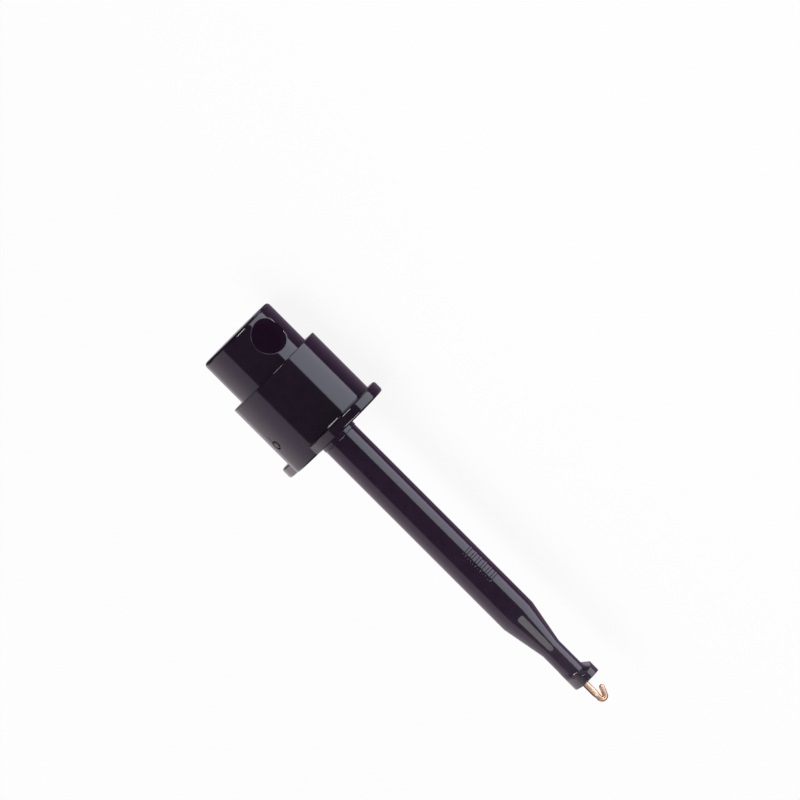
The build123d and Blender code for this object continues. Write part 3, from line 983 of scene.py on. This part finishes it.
def add_sky_ramp(nodes, links, angle):
    """The panels' light by roll, as a share of the brightest level; also returns that level."""
    fraction = nodes.new("ShaderNodeMapRange")
    fraction.inputs["From Min"].default_value = -math.pi
    fraction.inputs["From Max"].default_value = math.pi
    links.new(angle, fraction.inputs["Value"])
    ramp = nodes.new("ShaderNodeValToRGB")
    marks = ramp.color_ramp.elements
    while len(marks) < len(SKY_LEVELS):
        marks.new(0.5)
    brightest = max(max(colour) for _, colour in SKY_LEVELS)
    for mark, (roll, colour) in zip(marks, SKY_LEVELS):
        mark.position = (roll + 180) / 360
        mark.color = (*(c / brightest for c in colour), 1)
    links.new(fraction.outputs["Result"], ramp.inputs["Fac"])
    return ramp.outputs["Color"], brightest


def add_low_panel(nodes, links, angle, along):
    """Small panel low behind the head, which lights the ramp behind the tip."""

    def band(value, low, high, edge):
        rise = add_step(nodes, links, value, low, low + edge)
        fall = add_step(nodes, links, value, high, high - edge)
        return add_math(nodes, links, "MULTIPLY", rise, fall)

    low_roll, high_roll = (math.radians(roll) for roll in LOW_PANEL_ROLLS)
    rolls = band(angle, low_roll, high_roll, LOW_PANEL_EDGES[0])
    reach = band(along, *LOW_PANEL_REACH, LOW_PANEL_EDGES[1])
    panel = add_math(nodes, links, "MULTIPLY", rolls, reach)
    light = nodes.new("ShaderNodeBackground")
    light.inputs["Color"].default_value = LOW_PANEL_COLOUR
    links.new(add_math(nodes, links, "MULTIPLY", panel, LOW_PANEL_LEVEL), light.inputs["Strength"])
    return light.outputs["Background"]


def make_world():
    """Studio surroundings as glossy surfaces see them: a bright panel low in front, a soft one
    behind and a small one low behind the head.

    The two long panels stop short of the clip's ends, where the room is dark.
    """
    world = bpy.data.worlds.new("studio")
    world.use_nodes = True
    bpy.context.scene.world = world
    nodes, links = world.node_tree.nodes, world.node_tree.links
    background = nodes["Background"]
    coordinates = nodes.new("ShaderNodeTexCoord")
    parts = nodes.new("ShaderNodeSeparateXYZ")
    links.new(coordinates.outputs["Generated"], parts.inputs["Vector"])
    along = parts.outputs["X"]
    away = add_math(nodes, links, "MULTIPLY", parts.outputs["Y"], -1.0)
    angle = add_math(nodes, links, "ARCTAN2", parts.outputs["Z"], away)

    colour, brightest = add_sky_ramp(nodes, links, angle)
    reach = add_math(nodes, links, "ABSOLUTE", along)
    fade = add_step(nodes, links, reach, *END_FADE, brightest, END_LEVEL * brightest)
    start, full = (math.radians(roll) for roll in BACK_ROLLS)
    rear = add_step(nodes, links, add_math(nodes, links, "ABSOLUTE", angle), start, full)
    rear = add_math(nodes, links, "MULTIPLY", rear, add_step(nodes, links, along, *BACK_FADE))
    lost = add_math(nodes, links, "MULTIPLY", rear, BACK_LOSS)
    kept = add_math(nodes, links, "SUBTRACT", 1.0, lost)
    links.new(colour, background.inputs["Color"])
    links.new(add_math(nodes, links, "MULTIPLY", fade, kept), background.inputs["Strength"])

    both = nodes.new("ShaderNodeAddShader")
    links.new(background.outputs["Background"], both.inputs[0])
    links.new(add_low_panel(nodes, links, angle, along), both.inputs[1])
    links.new(both.outputs["Shader"], nodes["World Output"].inputs["Surface"])


def add_area_light(name, direction, distance, size, radiance, glossy):
    """Panel that faces the clip; it lights either the glossy reflections or the diffuse shading."""
    data = bpy.data.lights.new(name, "AREA")
    data.shape = "RECTANGLE"
    data.size, data.size_y = size
    data.energy = radiance * math.pi * size[0] * size[1]
    light = bpy.data.objects.new(name, data)
    bpy.context.scene.collection.objects.link(light)
    way = Vector(direction).normalized()
    light.location = way * distance
    light.rotation_mode = "QUATERNION"
    light.rotation_quaternion = way.to_track_quat("Z", "Y")
    light.visible_camera = False
    light.visible_glossy = glossy
    light.visible_diffuse = not glossy
    return light


VIEW_ROLL = 25.5
VIEW_YAW = 1.75
FRAME_WIDTH = 88.45
CAMERA_DISTANCE = 1200.0
SENSOR_WIDTH = 36.0
TARGET_STATION = 18.06
TARGET_SHIFT = -7.64


def make_camera():
    """Camera square to the clip's axis, turned so that the hook points down to the right."""
    yaw = math.radians(VIEW_YAW)
    back = outward(VIEW_ROLL) * math.cos(yaw) + Vector((math.sin(yaw), 0, 0))
    hookward = Vector((-1, 0, 0))
    hookward = (hookward - back * hookward.dot(back)).normalized()
    aside = outward(VIEW_ROLL + 90)
    right = (hookward - aside).normalized()
    up = -(hookward + aside).normalized()
    target = Vector(place(TARGET_STATION, 0, 0)) + aside * TARGET_SHIFT * MM
    data = bpy.data.cameras.new("camera")
    data.sensor_width = SENSOR_WIDTH
    data.lens = SENSOR_WIDTH * CAMERA_DISTANCE / FRAME_WIDTH
    data.clip_start, data.clip_end = 0.05, 20.0
    camera = bpy.data.objects.new("camera", data)
    bpy.context.scene.collection.objects.link(camera)
    turn = Matrix((right, up, back)).transposed().to_4x4()
    camera.matrix_world = Matrix.Translation(target + back * CAMERA_DISTANCE * MM) @ turn
    bpy.context.scene.camera = camera


# ---- the clip ----
black = glossy_plastic("black_nylon", *BLACK_NYLON, (0.05, 0.08))
barrel_black = glossy_plastic("barrel_nylon", *BARREL_NYLON, (0.08, 0.12), WORN_NYLON)
# Painted light: a paler patch on one side of the tip.
paint_light_patch(barrel_black, (52.95, 53.35), 90.0, (0.35, 1.0), TIP_PAINTED_LIGHT)
collar_black = glossy_plastic("collar_nylon", *BLACK_NYLON, (0.05, 0.08))
# Painted light: a paler patch on the far ear of the flange.
paint_light_patch(collar_black, (14.2, 14.5), 150.0, (4.6, 6.3), EAR_PAINTED_LIGHT)
inner_black = matte_plastic("unpolished_nylon", *INNER_NYLON, (0.55, 0.7))
# Painted stray light: the cap's inside glows faintly.
paint_stray_glow(inner_black, INNER_STRAY_LIGHT)
# Pale matte colour for the long flat on the taper: a painted highlight.
flat_highlight = matte_plastic("flat_highlight_nylon", *FLAT_PAINTED_HIGHLIGHT, (0.5, 0.62))
copper = metal("copper_plate", *COPPER, (0.44, 0.54))
# Paints shade onto the hook: a dark line along one side of the wire and darker copper over the
# bend.
paint_hook_shade(copper)
brass = metal("turned_brass", *BRASS, (0.22, 0.36), (1, 0.2, 0.2))
steel = metal("spring_steel", *STEEL, (0.20, 0.32))
dull_black = matte_plastic("dull_nylon", *DULL_NYLON, (0.4, 0.55))
natural = matte_plastic("natural_tube", *NATURAL_TUBE, (0.35, 0.5))

collar = make_collar()
dress(collar, collar_black)
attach(collar, "housing")
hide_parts("finger_collar")

barrel = make_barrel()
dress(barrel, barrel_black, flat_highlight)
mark_facet(barrel)
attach(barrel, "housing")
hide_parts("nose_barrel")

cap = make_cap()
dress(cap, black, inner_black)
mark_inside(cap)
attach(cap, "plunger")
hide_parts("head_cap")

hook = make_hook()
dress(hook, copper)
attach(hook, "plunger")
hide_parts("hook_contact")

spring = make_spring()
dress(spring, steel)
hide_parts("return_spring")
tuple(place(SPRING_POCKET_FLOOR, 0, 0))
tuple(place(SPRING_TOP_STATION, 0, 0))
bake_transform(spring)

dress(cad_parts["plunger_stem"], dull_black)
dress(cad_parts["lead_terminal"], brass)
dress(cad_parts["shank_sleeve"], natural)

make_floor()
make_backdrop()
make_world()
add_area_light("overhead", (0.0, 0.25, 1.0), 1.6, (2.4, 2.4), 0.9, False)
add_area_light("head_end_box", (0.64, -0.75, 0.17), 1.5, (0.36, 0.66), 16.0, True)
add_area_light("hook_end_box", (-0.64, -0.74, 0.205), 1.5, (0.34, 1.3), 13.0, True)
make_camera()
bpy.context.scene.view_settings.view_transform = "Standard"
